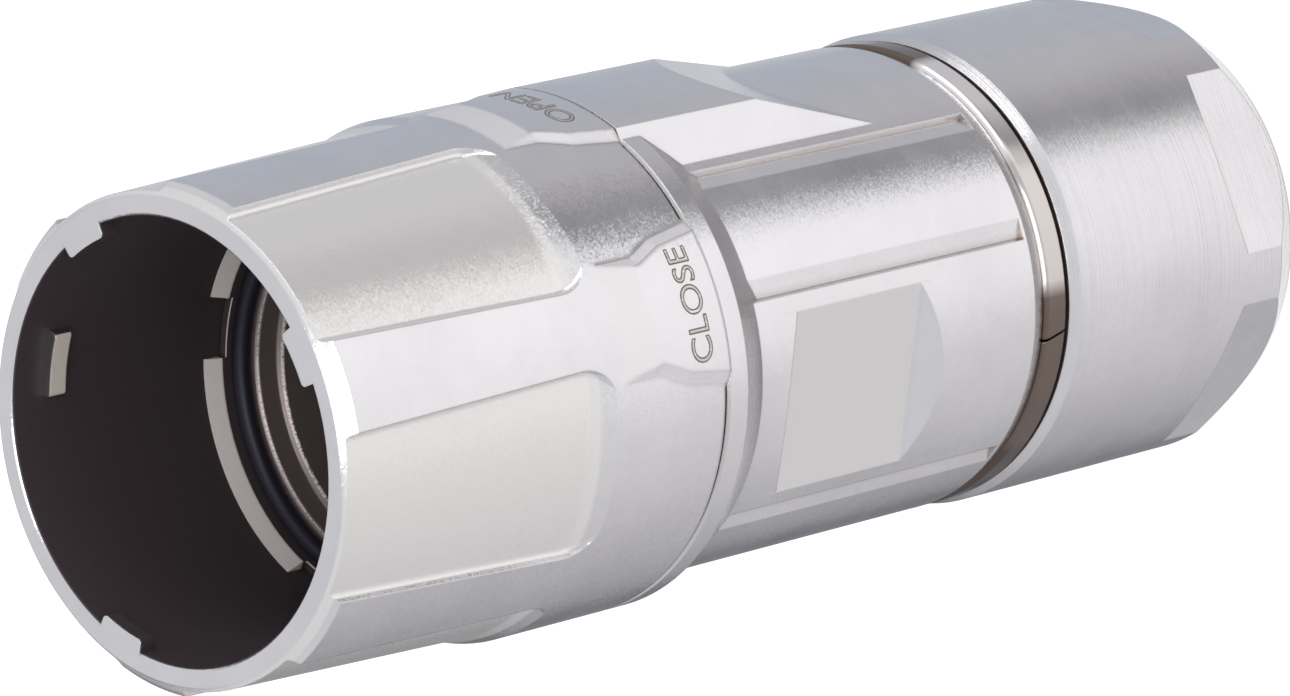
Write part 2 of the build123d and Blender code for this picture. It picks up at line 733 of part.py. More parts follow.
# Slip ring: its cone closes the cage's fingers, and the nut turns on its flat side
slip_ring_z = nut_wall + face_clearance
slip_ring_r = nut_chamber_r - slip_ring_play
slip_ring_bore_r = slip_ring_r - slip_ring_wall
slip_ring_mouth_r = slip_ring_bore_r + slip_ring_cone_depth
with BuildPart() as slip_ring:
    with BuildSketch(Plane.XZ):
        with BuildLine():
            Polyline(
                (slip_ring_bore_r, slip_ring_z),
                (slip_ring_r, slip_ring_z),
                (slip_ring_r, slip_ring_z + slip_ring_height),
                (slip_ring_mouth_r, slip_ring_z + slip_ring_height),
                close=True,
            )
        make_face()
    revolve(axis=Axis.Z)
slip_ring.part.label = "slip_ring"

# Clamp cage: a ring with eight fingers that close on the grommet
cage_r = clamp_bore_r - cage_play
cage_ring_bore_r = cage_r - cage_ring_wall
cage_finger_outer_r = cage_r - cage_finger_inset
cage_finger_inner_r = cage_finger_outer_r - cage_finger_thickness
cone_slope = (slip_ring_mouth_r - slip_ring_bore_r) / slip_ring_height
tip_r = slip_ring_bore_r + cone_slope * (cage_bottom - slip_ring_z) - cage_play
cone_end_r = slip_ring_mouth_r - cage_play
cage_shoulder_z = slip_ring_z + slip_ring_height + (cage_finger_outer_r - cone_end_r) / cone_slope
with BuildPart() as clamp_cage:
    with BuildSketch(Plane.XZ):
        with BuildLine():
            Polyline(
                (tip_r, cage_bottom),
                (cage_finger_outer_r, cage_shoulder_z),
                (cage_finger_outer_r, cage_ring_z),
                (cage_r, cage_ring_z + 0.2),
                (cage_r, cage_ring_z + cage_ring_height),
                (cage_ring_bore_r, cage_ring_z + cage_ring_height),
                (cage_ring_bore_r, cage_ring_z),
                (cage_finger_inner_r, cage_ring_z),
                (cage_finger_inner_r, cage_bottom),
                close=True,
            )
        make_face()
    revolve(axis=Axis.Z)
    with BuildSketch(Plane.XY.offset(cage_bottom - cutter_margin)):
        with PolarLocations((cage_r + cage_finger_inner_r) / 2, cage_finger_count):
            Rectangle(cage_r, cage_slot_width)
    extrude(amount=cage_ring_z - cage_finger_root - cage_bottom + cutter_margin, mode=Mode.SUBTRACT)
clamp_cage.part.label = "clamp_cage"

# Grommet, ribbed inside
grommet_r = cage_finger_inner_r - grommet_play
grommet_bore_r = grommet_r - grommet_wall
grommet_top = cage_ring_z - face_clearance
rib_pitch = (grommet_top - grommet_bottom) / (grommet_groove_count + 1)
with BuildPart() as cable_grommet:
    with BuildSketch(Plane.XZ):
        with Locations(((grommet_bore_r + grommet_r) / 2, (grommet_bottom + grommet_top) / 2)):
            Rectangle(grommet_r - grommet_bore_r, grommet_top - grommet_bottom)
        with Locations(*[(grommet_bore_r, grommet_bottom + rib_pitch * (i + 1))
                         for i in range(grommet_groove_count)]):
            Rectangle(2 * grommet_groove_depth, grommet_groove_width, mode=Mode.SUBTRACT)
    revolve(axis=Axis.Z)
    chamfer(cable_grommet.edges().group_by(Axis.Z)[0].sort_by(SortBy.RADIUS)[0], grommet_groove_depth)
cable_grommet.part.label = "cable_grommet"

# Removable core of the grommet, for thin cables
with BuildPart() as grommet_core:
    with BuildSketch(Plane.XY.offset(grommet_bottom)):
        Circle(grommet_bore_r - core_play)
        Circle(grommet_bore_r - core_play - core_wall, mode=Mode.SUBTRACT)
    extrude(amount=grommet_top - grommet_bottom)
    chamfer(grommet_core.edges().group_by(Axis.Z)[0].sort_by(SortBy.RADIUS)[0], grommet_groove_depth)
grommet_core.part.label = "grommet_core"

# Shield ferrule: the cable's braid is folded over its tube
ferrule_z = cage_ring_z + cage_ring_height + face_clearance
ferrule_top = ferrule_z + ferrule_flange_height
ferrule_tube_top = ferrule_top + ferrule_tube_length
ferrule_tube_r = cage_ring_bore_r
ferrule_bore_r = ferrule_tube_r - ferrule_wall
with BuildPart() as shield_ferrule:
    with BuildSketch(Plane.XZ):
        with BuildLine():
            Polyline(
                (ferrule_bore_r, ferrule_z),
                (cage_r, ferrule_z),
                (cage_r, ferrule_top),
                (ferrule_tube_r, ferrule_top),
                (ferrule_tube_r, ferrule_tube_top - 0.3),
                (ferrule_tube_r - 0.3, ferrule_tube_top),
                (ferrule_bore_r, ferrule_tube_top),
                close=True,
            )
        make_face()
    revolve(axis=Axis.Z)
shield_ferrule.part.label = "shield_ferrule"

# Clamp ring round the braid
shield_ring_bore_r = ferrule_tube_r + shield_ring_play
shield_ring_r = shield_ring_bore_r + shield_ring_wall
with BuildPart() as shield_clamp_ring:
    with BuildSketch(Plane.XZ):
        with BuildLine():
            ring_bottom = ferrule_top + face_clearance
            Polyline(
                (shield_ring_bore_r, ring_bottom),
                (shield_ring_r, ring_bottom),
                (shield_ring_r, ring_bottom + 0.6 * shield_ring_height),
                (shield_ring_r - 0.8, ring_bottom + shield_ring_height),
                (shield_ring_bore_r, ring_bottom + shield_ring_height),
                close=True,
            )
        make_face()
    revolve(axis=Axis.Z)
shield_clamp_ring.part.label = "shield_clamp_ring"

# Contact crown that joins the braid clamp to the shell
crown_outer_r = clamp_bore_r - crown_play
with BuildPart() as shield_contact_crown:
    with BuildSketch(Plane.XY.offset(ferrule_top + face_clearance)):
        Circle(crown_outer_r)
        Circle(crown_outer_r - crown_thickness, mode=Mode.SUBTRACT)
    extrude(amount=crown_height)
    with BuildSketch(Plane.XY.offset(ferrule_top + face_clearance + crown_base_height)):
        with PolarLocations(crown_outer_r - crown_thickness / 2, crown_slot_count):
            Rectangle(3 * crown_thickness, crown_slot_width)
    extrude(amount=crown_height, mode=Mode.SUBTRACT)
shield_contact_crown.part.label = "shield_contact_crown"

# Spacer sleeve between the shield clamp and the shoulder of the insert bore, with windows for the cores
spacer_z = ferrule_tube_top + face_clearance
spacer_length = clamp_bore_top - face_clearance - spacer_z
spacer_r = clamp_bore_r - spacer_play
with BuildPart() as spacer_sleeve:
    with BuildSketch(Plane.XY.offset(spacer_z)):
        Circle(spacer_r)
        Circle(spacer_r - spacer_wall, mode=Mode.SUBTRACT)
    extrude(amount=spacer_length)
    with BuildSketch(Plane.XY.offset(spacer_z + spacer_length - spacer_window_height)):
        with PolarLocations(spacer_r - spacer_wall / 2, spacer_window_count):
            Rectangle(3 * spacer_wall, spacer_window_width)
    extrude(amount=spacer_window_height, mode=Mode.SUBTRACT)
spacer_sleeve.part.label = "spacer_sleeve"

pieces = [
    coupling_sleeve, body_shell, clamp_nut, lock_washer, face_seal, sleeve_snap_ring, click_ring,
    damper_seal, stop_pin, neck_seal, slip_ring, clamp_cage, cable_grommet, grommet_core,
    shield_ferrule, shield_clamp_ring, shield_contact_crown, spacer_sleeve,
]
for piece in pieces:
    export_step(piece.part, f"parts/{piece.part.label}.step")
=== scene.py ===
# %% [markdown]
# A quick-lock power connector, finished in Blender. The turned and milled pieces come from the
# CAD model, at their real size. This file gives each of them the finish of the real one, engraves
# the two operating words, and sets up the studio and the camera.

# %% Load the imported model
import json
from math import cos, pi, radians, sin, tau

import bpy
from mathutils import Matrix, Vector


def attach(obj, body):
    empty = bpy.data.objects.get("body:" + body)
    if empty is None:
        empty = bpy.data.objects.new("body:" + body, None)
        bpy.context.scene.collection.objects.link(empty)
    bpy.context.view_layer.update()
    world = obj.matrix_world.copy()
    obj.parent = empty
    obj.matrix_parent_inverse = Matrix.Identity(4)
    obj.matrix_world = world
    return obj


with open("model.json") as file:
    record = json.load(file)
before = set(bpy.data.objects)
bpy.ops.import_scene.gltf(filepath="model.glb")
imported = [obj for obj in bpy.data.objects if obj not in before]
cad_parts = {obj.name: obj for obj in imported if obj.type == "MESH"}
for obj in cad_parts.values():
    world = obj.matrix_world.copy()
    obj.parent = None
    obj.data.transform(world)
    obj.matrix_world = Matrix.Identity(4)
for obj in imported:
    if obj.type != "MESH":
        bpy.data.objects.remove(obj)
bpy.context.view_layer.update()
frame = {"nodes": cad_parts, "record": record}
nodes = frame["nodes"]
mm = 0.001
print("pieces from the CAD model:", ", ".join(sorted(nodes)))

# %% [markdown]
# The photograph was taken with a long lens, 45 degrees off the connector's axis. The connector
# stands on its nut here, so the camera looks down on it and is rolled until the mouth points to the
# lower left. Aiming a camera with to_track_quat and rolling it afterwards keeps the numbers readable.

# %% Camera
lens_mm = 239.78
aim = Vector((0.43, -0.84, 40.88)) * mm
camera_distance = 465.38 * mm
camera_azimuth = radians(27.272)
camera_elevation = radians(44.613)
camera_roll = radians(-103.389)

towards_camera = Vector((
    cos(camera_elevation) * cos(camera_azimuth),
    cos(camera_elevation) * sin(camera_azimuth),
    sin(camera_elevation),
))
camera = bpy.data.objects.new("camera", bpy.data.cameras.new("camera"))
bpy.context.scene.collection.objects.link(camera)
camera.data.lens = lens_mm
camera.data.sensor_width = 36
camera.data.clip_start = 10 * mm
camera.data.clip_end = 10
upright = towards_camera.to_track_quat("Z", "Y").to_matrix().to_4x4()
camera.matrix_world = (
    Matrix.Translation(aim + towards_camera * camera_distance)
    @ upright
    @ Matrix.Rotation(camera_roll, 4, "Z")
)
bpy.context.scene.camera = camera
photo_up = camera.matrix_world.to_3x3() @ Vector((0, 1, 0))
print("the photograph's up is", [round(c, 3) for c in photo_up])

# %% [markdown]
# Polished metal shows its surroundings, so the studio matters as much as the metal. The camera looks
# down at 45 degrees, so every upright face of the connector mirrors something below the horizon,
# and which part depends only on the way the face looks. A product photographer puts cards there:
# white in front, a black edge, cool grey ones. Here the world's lower half holds them as a ring of
# tones, and the floor lets mirrored rays through to it, so nothing has to stand in the picture.
# The camera itself sees a plain white floor with the connector's soft shadow.

# %% Small helpers for node trees
def node(tree, kind, **settings):
    made = tree.nodes.new(kind)
    for name, value in settings.items():
        setattr(made, name, value)
    return made


def link(tree, source, output, target, socket):
    tree.links.new(source.outputs[output], target.inputs[socket])


def feed(tree, value, socket):
    """Link the output of a node to the socket, or write a number or a colour into it."""
    if isinstance(value, bpy.types.NodeSocket):
        tree.links.new(value, socket)
    else:
        socket.default_value = (*value, 1) if isinstance(value, tuple) else value


def calculated(tree, operation, *terms, clamp=False):
    """The result of a Math node. Each term is a number or the output of a node."""
    step = node(tree, "ShaderNodeMath", operation=operation, use_clamp=clamp)
    for slot, term in enumerate(terms):
        feed(tree, term, step.inputs[slot])
    return step.outputs["Value"]


def scaled(tree, value, factor, offset=0.0):
    """factor * value + offset, held between 0 and 1."""
    return calculated(tree, "MULTIPLY_ADD", value, factor, offset, clamp=True)


def ramp_between(tree, value, low, high):
    """0 where value is low and 1 where it is high. Low may be the greater of the two."""
    rise = node(tree, "ShaderNodeMapRange")
    for name, number in (("Value", value), ("From Min", low), ("From Max", high)):
        feed(tree, number, rise.inputs[name])
    return rise.outputs["Result"]


def mixed(tree, factor, lower, upper):
    """A colour that is lower where factor is 0 and upper where it is 1."""
    blend = node(tree, "ShaderNodeMix", data_type="RGBA")
    for slot, value in ((0, factor), (6, lower), (7, upper)):
        feed(tree, value, blend.inputs[slot])
    return blend.outputs[2]


# %% Cards round the connector
# Direction of a card, in degrees round the axis from +X, and its tone.
cards = (
    (-150, (0.30, 0.30, 0.315)),
    (-138, (0.24, 0.24, 0.255)),
    (-124, (0.17, 0.17, 0.185)),
    (-110, (0.35, 0.35, 0.37)),
    (-52, (0.68, 0.67, 0.69)),
    (-12, (0.83, 0.82, 0.83)),
    (10, (1.04, 1.03, 1.04)),
    (35, (1.12, 1.11, 1.12)),
    (61, (1.16, 1.15, 1.16)),
    (77, (0.26, 0.26, 0.27)),
    (104, (0.57, 0.56, 0.58)),
    (165, (0.50, 0.535, 0.61)),
    (178, (0.47, 0.50, 0.56)),
    (190, (0.60, 0.62, 0.66)),
    (204, (0.80, 0.81, 0.84)),
)
# Between these angles under the horizon, in degrees, the ring of cards gives way to below_tone,
# and over the last ones up to the horizon to above_tone.
ring_foot = (58, 74)
ring_top = 20
below_tone = (0.33, 0.32, 0.33)
above_tone = (0.735, 0.74, 0.775)
# A white card under the connector, mirrored by the cone of its nut, with the angles from its
# middle where it starts and where it is full.
foot_card = Vector((-0.362, -0.185, -0.914))
foot_rim = (20, 12)
foot_tone = (1.10, 1.09, 1.10)


def mirrored_studio(tree):
    """The tone that metal sees in each direction of the world."""
    place = node(tree, "ShaderNodeTexCoord")
    split = node(tree, "ShaderNodeSeparateXYZ")
    link(tree, place, "Generated", split, "Vector")
    x, y, z = split.outputs
    ring = node(tree, "ShaderNodeValToRGB")
    feed(tree, ramp_between(tree, calculated(tree, "ARCTAN2", y, x), -pi, pi), ring.inputs["Fac"])
    stops = sorted(((degrees + 180) % 360 / 360, (*tone, 1)) for degrees, tone in cards)
    band = ring.color_ramp
    band.elements[0].position, band.elements[0].color = stops[0]
    band.elements[1].position, band.elements[1].color = stops[-1]
    for position, tone in stops[1:-1]:
        band.elements.new(position).color = tone
    steep = ramp_between(tree, z, *(-sin(radians(angle)) for angle in ring_foot))
    lower_half = mixed(tree, steep, ring.outputs["Color"], below_tone)
    towards_foot = node(tree, "ShaderNodeVectorMath", operation="DOT_PRODUCT")
    link(tree, place, "Generated", towards_foot, 0)
    towards_foot.inputs[1].default_value = foot_card
    on_card = ramp_between(
        tree, towards_foot.outputs["Value"], *(cos(radians(angle)) for angle in foot_rim)
    )
    lower_half = mixed(tree, on_card, lower_half, foot_tone)
    upward = ramp_between(tree, z, -sin(radians(ring_top)), 0)
    return mixed(tree, upward, lower_half, above_tone)


print("cards in the ring:", len(cards))


# %% Floor
def studio_floor(name, paper_tone, lit_share):
    """White paper that glows a little for the camera, and that mirrored rays pass through."""
    material = bpy.data.materials.new(name)
    material.use_nodes = True
    tree = material.node_tree
    tree.nodes.clear()
    paper = node(tree, "ShaderNodeBsdfDiffuse")
    feed(tree, (paper_tone,) * 3, paper.inputs["Color"])
    glow = node(tree, "ShaderNodeEmission")
    feed(tree, (lit_share,) * 3, glow.inputs["Color"])
    backdrop = node(tree, "ShaderNodeAddShader")
    link(tree, paper, 0, backdrop, 0)
    link(tree, glow, 0, backdrop, 1)
    opening = node(tree, "ShaderNodeBsdfTransparent")
    ray = node(tree, "ShaderNodeLightPath")
    camera_or_paper = node(tree, "ShaderNodeMixShader")
    link(tree, ray, "Is Camera Ray", camera_or_paper, 0)
    link(tree, paper, 0, camera_or_paper, 1)
    link(tree, backdrop, 0, camera_or_paper, 2)
    seen = node(tree, "ShaderNodeMixShader")
    link(tree, ray, "Is Glossy Ray", seen, 0)
    link(tree, camera_or_paper, 0, seen, 1)
    link(tree, opening, 0, seen, 2)
    output = node(tree, "ShaderNodeOutputMaterial")
    link(tree, seen, 0, output, "Surface")
    return material


half_floor = 2.0
floor_corners = [(x * half_floor, y * half_floor, 0) for x, y in ((-1, -1), (1, -1), (1, 1), (-1, 1))]
floor_mesh = bpy.data.meshes.new("floor")
floor_mesh.from_pydata(floor_corners, [], [(0, 1, 2, 3)])
floor_mesh.materials.append(studio_floor("white floor", paper_tone=0.80, lit_share=0.62))
floor = bpy.data.objects.new("floor", floor_mesh)
bpy.context.scene.collection.objects.link(floor)
print("floor:", 2 * half_floor, "m wide")

# %% World
room_tone = (0.62, 0.62, 0.62)
backdrop_tone = (1.0, 1.0, 1.0)

world = bpy.data.worlds.new("studio")
bpy.context.scene.world = world
world.use_nodes = True
air = world.node_tree
ray = node(air, "ShaderNodeLightPath")
looked_at = mixed(air, ray.outputs["Is Camera Ray"], room_tone, backdrop_tone)
tone = mixed(air, ray.outputs["Is Glossy Ray"], looked_at, mirrored_studio(air))
feed(air, tone, air.nodes["Background"].inputs["Color"])
print("world:", len(air.nodes), "nodes")


# %% Lamps
def soft_lamp(name, direction, distance, size, brightness):
    """A rectangular softbox, aimed at the connector. Its power grows with its size."""
    lamp = bpy.data.objects.new(name, bpy.data.lights.new(name, "AREA"))
    lamp.data.shape = "RECTANGLE"
    lamp.data.size, lamp.data.size_y = size
    lamp.data.energy = brightness * pi * size[0] * size[1]
    direction = Vector(direction).normalized()
    turn = direction.to_track_quat("Z", "Y").to_matrix().to_4x4()
    lamp.matrix_world = Matrix.Translation(aim + direction * distance) @ turn
    bpy.context.scene.collection.objects.link(lamp)
    print(name, round(lamp.data.energy, 2), "W")


beside_camera = photo_up + towards_camera * 0.4
soft_lamp("front softbox", towards_camera, distance=0.9, size=(0.55, 0.55), brightness=2.2)
soft_lamp("side softbox", beside_camera, distance=0.9, size=(0.8, 0.5), brightness=1.3)

# %% [markdown]
# Nickel plating is a warm grey metal. What makes it real is small: a satin grain from blasting
# on the sleeve and shell, fine turning lines round the nut, faint smudges, and softly rounded edges
# that catch the light. The Bevel node rounds the edges in the shading only, so the CAD mesh stays as
# it is.
#
# One piece has more than one finish, and some zones hold painted shade and light. Inside the mouth
# the metal is painted almost black and brown for its shade, the pockets' floors are duller, a few
# edges carry painted highlights, and the rim's crown and the guide lug are painted bright as if lit.
# A turned piece makes this easy: the distance from the axis and the height tell which surface a point is
# on, so a zone is a ring between two radii and two heights. The neck's thread is drawn in the same way.

# %% Where on the connector
# Height of the sleeve's rim, in millimetres, and the specks that break up a painted highlight, in cells
# a metre.
mouth_z = 76.02
speck_scale = 7000


def within(tree, value, low, high, soft, unit=mm):
    """1 where value, in the unit, lies between low and high, with an edge as wide as soft."""
    rise = ramp_between(tree, value, (low - soft) * unit, low * unit)
    fall = ramp_between(tree, value, (high + soft) * unit, high * unit)
    return calculated(tree, "MULTIPLY", rise, fall)


def noise(tree, place, scale, **others):
    """The grey of a Noise texture, with scale cells a metre and its other inputs by name."""
    clouds = node(tree, "ShaderNodeTexNoise")
    feed(tree, place, clouds.inputs["Vector"])
    for name, number in {"Scale": scale, **others}.items():
        feed(tree, number, clouds.inputs[name])
    return clouds.outputs["Fac"]


class Where:
    """The place of a point on its piece: height, radius, turn round the axis from +X, and side,
    which is the distance from the middle plane across X."""
    def __init__(self, tree):
        self.tree = tree
        self.place = node(tree, "ShaderNodeTexCoord").outputs["Object"]
        split = node(tree, "ShaderNodeSeparateXYZ")
        feed(tree, self.place, split.inputs["Vector"])
        x, y, self.height = split.outputs
        flat = node(tree, "ShaderNodeCombineXYZ")
        feed(tree, x, flat.inputs["X"])
        feed(tree, y, flat.inputs["Y"])
        away = node(tree, "ShaderNodeVectorMath", operation="LENGTH")
        link(tree, flat, "Vector", away, 0)
        self.radius = away.outputs["Value"]
        self.turn = calculated(tree, "ARCTAN2", y, x)
        self.side = calculated(tree, "ABSOLUTE", x)

    def zone(self, radii, heights, soft=0.02, taper=0.0, flat=False, broken_highlight=False):
        """1 between the radii and the heights, in millimetres, with an edge as wide as soft.
        A tapered zone gains taper mm of radius for each mm down. For a flat across X, radii
        are distances from the middle plane. A zone marked as a broken highlight is broken up by specks,
        as a painted highlight on an edge."""
        tree = self.tree
        radius = self.side if flat else self.radius
        if taper:
            radius = calculated(tree, "MULTIPLY_ADD", self.height, taper, self.radius)
        ring = within(tree, radius, *radii, soft)
        layer = within(tree, self.height, *heights, soft)
        if broken_highlight:
            specks = ramp_between(tree, noise(tree, self.place, speck_scale), 0.40, 0.52)
            layer = calculated(tree, "MULTIPLY", layer, specks)
        return calculated(tree, "MULTIPLY", ring, layer)

    def thread(self, pitch, radii, heights):
        """The height of a right-hand thread's flanks, from 0 in its root to 1 on its crest."""
        tree = self.tree
        turns_up = calculated(tree, "DIVIDE", self.height, pitch * mm)
        turns_round = calculated(tree, "DIVIDE", self.turn, tau)
        helix = calculated(tree, "SUBTRACT", turns_up, turns_round)
        flanks = calculated(tree, "PINGPONG", helix, 0.5)
        with_flat_crests = scaled(tree, flanks, 2.6, -0.15)
        return calculated(tree, "MULTIPLY", with_flat_crests, self.zone(radii, heights))


# %% Grain, lines and painted shade
# Painted shade lies in corners narrower than its reach, in millimetres. Smudges darken the metal a
# little and change its roughness by up to half of smudge_gloss either way.
painted_shade_reach = 0.55
painted_shade_tint = (0.50, 0.44, 0.38)
smudge_tint = (0.92, 0.92, 0.92)
smudge_gloss = 0.22


def bumped(tree, height, depth, normal=None):
    """The normal on a surface that rises by depth millimetres where height is 1."""
    bump = node(tree, "ShaderNodeBump")
    feed(tree, depth * mm, bump.inputs["Distance"])
    feed(tree, height, bump.inputs["Height"])
    if normal is not None:
        feed(tree, normal, bump.inputs["Normal"])
    return bump.outputs["Normal"]


def turned(tree, height, lines_per_metre, depth, normal):
    """The normal on a surface with fine lines round the axis."""
    rings = node(tree, "ShaderNodeTexNoise", noise_dimensions="1D")
    for name, number in (("W", height), ("Scale", lines_per_metre), ("Detail", 4)):
        feed(tree, number, rings.inputs[name])
    return bumped(tree, rings.outputs["Fac"], depth, normal)


def blasted(tree, place, size, tilt, normal):
    """The normal, tilted at random in each grain of a blasted surface."""
    grains = node(tree, "ShaderNodeTexVoronoi")
    feed(tree, 1 / (size * mm), grains.inputs["Scale"])
    feed(tree, place, grains.inputs["Vector"])
    centred = node(tree, "ShaderNodeVectorMath", operation="SUBTRACT")
    link(tree, grains, "Color", centred, 0)
    centred.inputs[1].default_value = (0.5, 0.5, 0.5)
    tilted = node(tree, "ShaderNodeVectorMath", operation="MULTIPLY_ADD")
    link(tree, centred, "Vector", tilted, 0)
    tilted.inputs[1].default_value = (tilt, tilt, tilt)
    feed(tree, normal, tilted.inputs[2])
    unit = node(tree, "ShaderNodeVectorMath", operation="NORMALIZE")
    link(tree, tilted, "Vector", unit, 0)
    return unit.outputs["Vector"]


def tinted(colour, tint):
    return tuple(channel * share for channel, share in zip(colour, tint))


def plating(tree, place, colour, roughness):
    """The colour and roughness of metal with faint smudges, and with painted shade in its corners."""
    cloud = noise(tree, place, 160, Detail=6, Roughness=0.65)
    rough = scaled(tree, cloud, smudge_gloss, roughness - smudge_gloss / 2)
    clean = ramp_between(tree, cloud, 0.35, 0.65)
    smudged = mixed(tree, clean, tinted(colour, smudge_tint), colour)
    # Painted shade: ambient occlusion darkens and warms the colour in narrow corners.
    corner = node(tree, "ShaderNodeAmbientOcclusion", samples=6)
    feed(tree, painted_shade_reach * mm, corner.inputs["Distance"])
    in_the_open = ramp_between(tree, corner.outputs["AO"], 0.35, 0.95)
    return mixed(tree, in_the_open, tinted(colour, painted_shade_tint), smudged), rough


# %% Metal
# The soft ends of an arc, in degrees, and the depth of the neck's thread, in millimetres.
arc_softness = 4
thread_depth = 0.45


def rounded(tree, where, radius, soft_edges):
    """The normal with its edges rounded, and more so in the area that soft_edges names."""
    bevel = node(tree, "ShaderNodeBevel", samples=4)
    if soft_edges:
        area, soft_radius = soft_edges
        extra = (soft_radius - radius) * mm
        wider = calculated(tree, "MULTIPLY_ADD", where.zone(**area), extra, radius * mm)
        feed(tree, wider, bevel.inputs["Radius"])
    else:
        feed(tree, radius * mm, bevel.inputs["Radius"])
    return bevel.outputs["Normal"]


def zoned(tree, where, zones, tone, rough):
    """The tone, the roughness and the share of metal, with each zone laid over them."""
    metallic = 1
    for area, zone_tone, zone_metallic, zone_roughness in zones:
        inside = where.zone(**area)
        tone = mixed(tree, inside, tone, zone_tone)
        kept = calculated(tree, "MULTIPLY", rough, scaled(tree, inside, -1, 1))
        rough = calculated(tree, "ADD", kept, scaled(tree, inside, zone_roughness))
        share = scaled(tree, inside, zone_metallic - 1, 1)
        metallic = calculated(tree, "MULTIPLY", metallic, share)
    return tone, rough, metallic


def metal(
    name, colour, roughness, edge=0.12, soft_edges=None, zones=(), arcs=(),
    lines=None, thread=None, grain=None,
):
    """Nickel or steel. An arc is (degrees round the axis, colour), lines are (a metre, depth),
    thread is (pitch, radii, heights) and grain is (size, tilt)."""
    material = bpy.data.materials.new(name)
    material.use_nodes = True
    tree = material.node_tree
    where = Where(tree)
    tone, rough = plating(tree, where.place, colour, roughness)
    for span, arc_colour in arcs:
        in_arc = within(tree, where.turn, *span, arc_softness, unit=radians(1))
        tone = mixed(tree, in_arc, tone, arc_colour)
    tone, rough, metallic = zoned(tree, where, zones, tone, rough)
    normal = rounded(tree, where, edge, soft_edges)
    if lines:
        normal = turned(tree, where.height, *lines, normal)
    if thread:
        normal = bumped(tree, where.thread(*thread), thread_depth, normal)
    if grain:
        normal = blasted(tree, where.place, *grain, normal)
    surface = tree.nodes["Principled BSDF"]
    for socket, value in (
        ("Base Color", tone), ("Roughness", rough), ("Metallic", metallic), ("Normal", normal)
    ):
        feed(tree, value, surface.inputs[socket])
    return material


# %% Zones of the sleeve, the shell and the washer
def zone(colour, metallic, roughness, **area):
    """A look of its own for one area, given as Where.zone takes it: a finish, painted shade or painted
    light.
    """
    return area, colour, metallic, roughness


# Painted shade: the sleeve's bore and the inner faces of its rim lugs are painted near black and not
# metallic, for the shade inside the mouth.
painted_bore_shade = (0.060, 0.046, 0.051)
painted_edge_highlight = (0.97, 0.92, 0.88)

bore_wall_shade = zone(painted_bore_shade, 0.0, 0.45, radii=(11.72, 12.40), heights=(40, mouth_z - 0.10))
lug_face_shade = zone(painted_bore_shade, 0.0, 0.45, radii=(11.0, 11.74), heights=(74.9, mouth_z - 0.12))
# Painted light: the deeper guide lug's inner face is painted bright and nearly diffuse, as if lit.
lit_guide_face = zone((0.90, 0.82, 0.73), 0.15, 0.45, radii=(11.0, 11.34), heights=(72.0, 73.78))
pocket_floor = zone(
    (0.83, 0.815, 0.80), 0.62, 0.25, radii=(15.25, 15.58), heights=(57.6, 80), taper=0.0305, soft=0.06
)
pad_flank = zone((0.85, 0.83, 0.84), 0.65, 0.40, radii=(14.16, 14.43), heights=(48, 57), soft=0.04)
# Painted shade: the shell's inner wall is painted brown and the crown's foot, between the rim and the
# seal, near black.
inner_wall_shade = zone((0.42, 0.34, 0.335), 0.6, 0.40, radii=(0, 11.20), heights=(-1, 61.9))
crown_foot_shade = zone((0.080, 0.062, 0.064), 0.0, 0.45, radii=(11.12, 11.85), heights=(59.9, 61.40))
# Painted light: the rim's crown is painted a bright diffuse tone in place of nickel, so it looks lit
# through the mouth.
lit_rim_crown = zone((0.96, 0.87, 0.84), 0.0, 0.5, radii=(11.1, 11.85), heights=(61.44, 63))
# Painted highlights: thin bright rings on the notch floor's edge and on the insert seat's and bore's
# bevels, the last two broken up by specks.
notch_edge_highlight = zone(painted_edge_highlight, 0.2, 0.3, radii=(11.245, 11.32), heights=(61.0, 61.25), soft=0.01)
seat_edge_highlight = zone(painted_edge_highlight, 0.2, 0.3, radii=(10.0, 10.09), heights=(59.95, 61), broken_highlight=True)
bore_edge_highlight = zone(painted_edge_highlight, 0.2, 0.3, radii=(9.68, 9.80), heights=(58.33, 59), broken_highlight=True)
wrench_flat = zone(
    (0.79, 0.77, 0.765), 0.85, 0.34, radii=(11.98, 12.02), heights=(31.5, 43), flat=True, soft=0.01
)
# Painted shade: a dark band on the washer's chamfer next to the nut, for the shade in the gap.
washer_foot_shade = zone((0.085, 0.07, 0.065), 0.4, 0.4, radii=(12.0, 14), heights=(20.3, 20.92))
pads = dict(radii=(14.02, 15), heights=(48, 57))
neck_thread = (1.5, (11.45, 11.78), (8.8, 16.3))

# %% The metals
nickel = (0.79, 0.78, 0.79)
sleeve_nickel = metal(
    "satin nickel with painted bore shade and lug light", nickel, 0.20, grain=(0.10, 0.085), soft_edges=(pads, 0.32),
    zones=(bore_wall_shade, lug_face_shade, lit_guide_face, pocket_floor, pad_flank),
)
shell_nickel = metal(
    "satin nickel with painted bore shade and highlights", nickel, 0.20, grain=(0.09, 0.065), lines=(5000, 0.004),
    zones=(inner_wall_shade, crown_foot_shade, lit_rim_crown, notch_edge_highlight, seat_edge_highlight, bore_edge_highlight, wrench_flat),
    thread=neck_thread,
)
nut_nickel = metal(
    "turned nickel", nickel, 0.23, grain=(0.09, 0.05), lines=(10000, 0.014), thread=neck_thread
)
turned_nickel = metal("turned inner nickel", (0.74, 0.72, 0.69), 0.28, lines=(9000, 0.006))
spring_steel = metal("spring steel", (0.60, 0.58, 0.56), 0.12, lines=(6000, 0.002))
